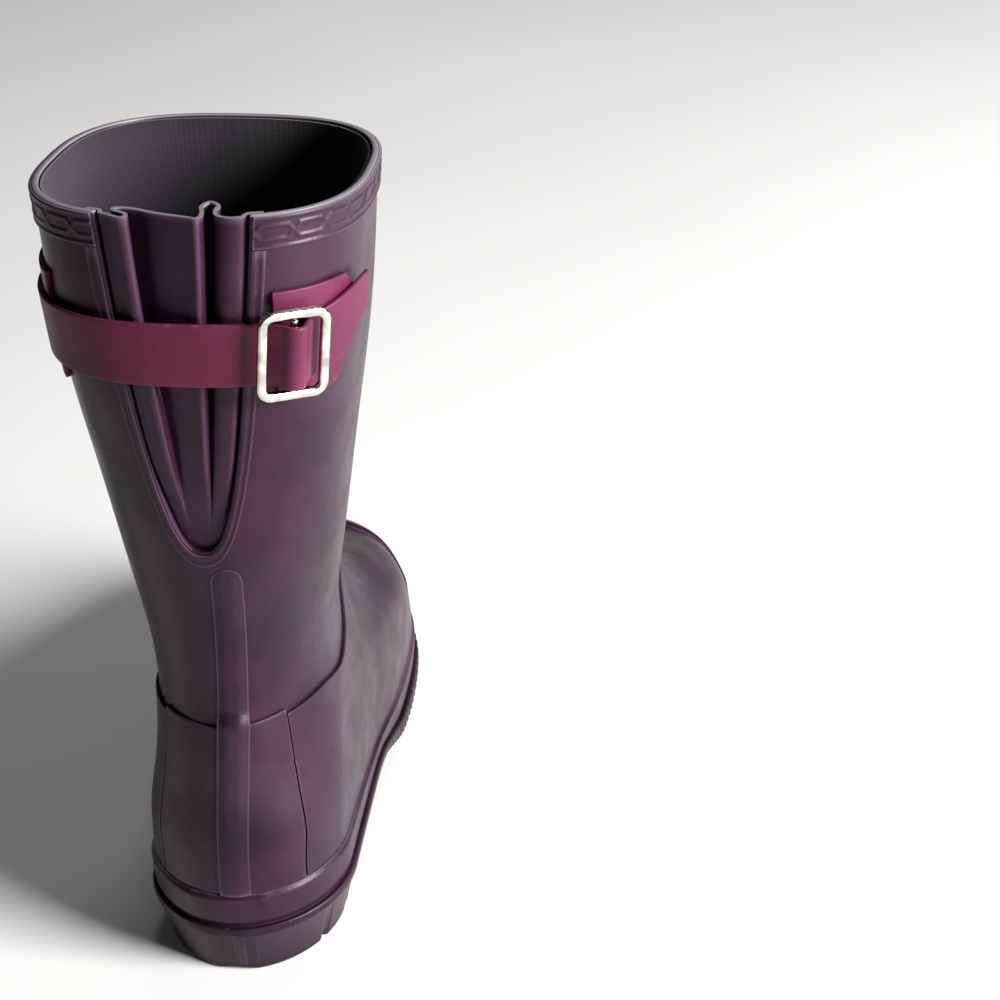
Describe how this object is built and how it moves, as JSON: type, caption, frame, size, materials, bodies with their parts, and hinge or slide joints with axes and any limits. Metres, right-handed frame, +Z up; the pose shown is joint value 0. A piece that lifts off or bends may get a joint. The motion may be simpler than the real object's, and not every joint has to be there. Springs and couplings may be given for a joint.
{
  "type": "rubber rain boot",
  "caption": "Mid-calf rubber rain boot with a pleated back gusset drawn in by a strap and a tilting buckle.",
  "frame": {"origin": "on the floor, under the middle of the boot's outer box", "axes": "+Z up, toe towards -Y, outer side of the foot towards -X"},
  "size_m": [0.1148, 0.2734, 0.3092],
  "materials": {
    "aubergine_rubber": "moulded natural rubber, matte",
    "sole_rubber": "moulded natural rubber, matte",
    "strap_rubber": "moulded natural rubber, satin",
    "lining_knit": "knitted polyester",
    "nickel_plate": "bright nickel plate",
    "red_rubber": "moulded rubber, satin",
    "white_rubber": "moulded rubber, satin",
    "grey_transfer": "heat transfer, matte",
    "fibreboard": "pressed fibre board",
    "spring_steel": "mill finish",
    "sponge": "textile on sponge",
    "stiff_rubber": "rubber on cotton, calendered"
  },
  "bodies": {
    "boot": {"outsole": "sole_rubber", "heel_block": "sole_rubber", "foxing_strip": "aubergine_rubber", "leg_shell": "aubergine_rubber", "lining": "lining_knit", "gusset": "aubergine_rubber", "gusset_seam_tape": "aubergine_rubber", "top_band": "aubergine_rubber", "vamp_overlay": "aubergine_rubber", "toe_cap": "aubergine_rubber", "heel_counter": "aubergine_rubber", "back_stay": "aubergine_rubber", "toe_puff": "stiff_rubber", "heel_stiffener": "stiff_rubber", "midsole_filler": "sponge", "heel_filler": "sponge", "shank": "spring_steel", "insole_board": "fibreboard", "footbed": "sponge", "strap": "strap_rubber", "strap_anchor_patch": "strap_rubber", "buckle_patch": "strap_rubber", "buckle_loop": "strap_rubber", "label_frame": "red_rubber", "label_plate": "white_rubber", "size_label": "grey_transfer"},
    "buckle": {"buckle_frame": "nickel_plate", "buckle_bar": "nickel_plate"}
  },
  "joints": [
    {"name": "buckle_tilt", "type": "hinge", "parent": "boot", "child": "buckle", "pos_m": [-0.03617, 0.12607, 0.26311], "axis": [-0.084, -0.0055, 0.9965], "range_deg": [-10, 10]}
  ]
}
